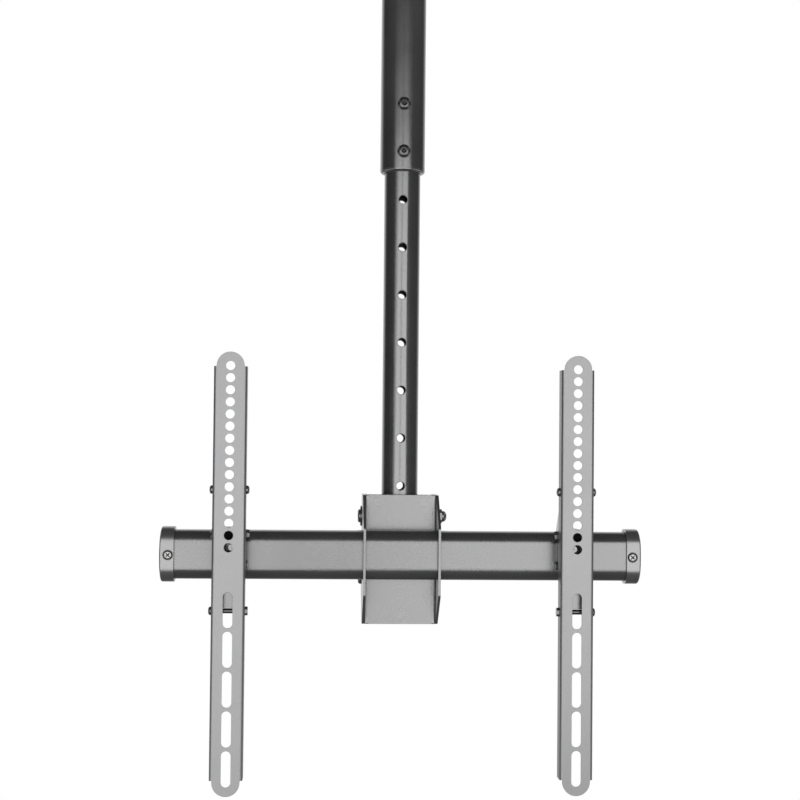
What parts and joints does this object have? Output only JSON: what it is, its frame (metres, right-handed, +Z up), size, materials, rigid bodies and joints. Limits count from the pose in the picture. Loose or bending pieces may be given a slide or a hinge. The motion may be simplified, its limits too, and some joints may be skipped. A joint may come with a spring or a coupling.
{
  "type": "tv ceiling mount",
  "caption": "Telescopic ceiling pole with a tilting head, a rounded cross bar and two slotted screen arms that slide along it.",
  "frame": {"origin": "centre of the face that lies against the ceiling", "axes": "+Z up into the ceiling, the screen side faces -Y, +X to the right seen from the screen side"},
  "size_m": [0.4896, 0.168, 1.1104],
  "materials": {
    "tube_paint": "satin dark grey powder coat",
    "sheet_paint": "satin dark grey powder coat",
    "black_plastic": "fine grained",
    "nylon": "natural",
    "black_steel": "black oxide",
    "plated_steel": "zinc plated"
  },
  "bodies": {
    "ceiling": {"ceiling_plate": "sheet_paint", "ceiling_socket": "tube_paint", "socket_screws": "black_steel", "swivel_bolt": "plated_steel", "thrust_washer": "nylon", "swivel_washer": "plated_steel", "swivel_nut": "plated_steel"},
    "upper_pole": {"outer_tube": "tube_paint", "tube_plug": "tube_paint", "guide_bush": "black_plastic", "pole_bolts": "black_steel", "pole_washers": "black_steel", "pole_nuts": "black_steel"},
    "lower_pole": {"inner_tube": "tube_paint", "top_bush": "black_plastic", "pole_foot": "sheet_paint", "pivot_spacers": "plated_steel"},
    "head": {"head_channel": "sheet_paint", "cheek_left": "sheet_paint", "cheek_right": "sheet_paint", "pivot_bolt": "black_steel", "pivot_washers": "black_steel", "pivot_nut": "black_steel", "tilt_lock_bolt": "black_steel", "tilt_lock_nut": "black_steel", "tilt_lock_sleeve": "plated_steel", "cross_bar": "sheet_paint", "bar_screws": "plated_steel", "end_cap_left": "black_plastic", "end_cap_right": "black_plastic", "cap_screws": "plated_steel"},
    "left_arm": {"arm_left": "sheet_paint", "bracket_left": "sheet_paint", "bar_clamp_left": "sheet_paint", "side_screws_left": "black_steel", "side_nuts_left": "black_steel", "clamp_bolt_left": "black_steel", "clamp_nut_left": "black_steel", "pinch_bolt_left": "black_steel", "pinch_nut_left": "black_steel", "stop_bolt_left": "black_steel", "stop_nut_left": "black_steel"},
    "right_arm": {"arm_right": "sheet_paint", "bracket_right": "sheet_paint", "bar_clamp_right": "sheet_paint", "side_screws_right": "black_steel", "side_nuts_right": "black_steel", "clamp_bolt_right": "black_steel", "clamp_nut_right": "black_steel", "pinch_bolt_right": "black_steel", "pinch_nut_right": "black_steel", "stop_bolt_right": "black_steel", "stop_nut_right": "black_steel"}
  },
  "joints": [
    {"name": "pole_swivel", "type": "hinge", "parent": "ceiling", "child": "upper_pole", "pos_m": [0, 0, 0], "axis": [0, 0, 1], "continuous": true},
    {"name": "pole_height", "type": "slide", "parent": "upper_pole", "child": "lower_pole", "axis": [0, 0, 1], "range_m": [0, 0.3]},
    {"name": "head_tilt", "type": "hinge", "parent": "lower_pole", "child": "head", "pos_m": [0, 0, -0.838], "axis": [1, 0, 0], "range_deg": [-5, 15]},
    {"name": "left_arm_shift", "type": "slide", "parent": "head", "child": "left_arm", "axis": [-1, 0, 0], "range_m": [-0.098, 0.035]},
    {"name": "right_arm_shift", "type": "slide", "parent": "head", "child": "right_arm", "axis": [1, 0, 0], "range_m": [-0.098, 0.035]}
  ]
}
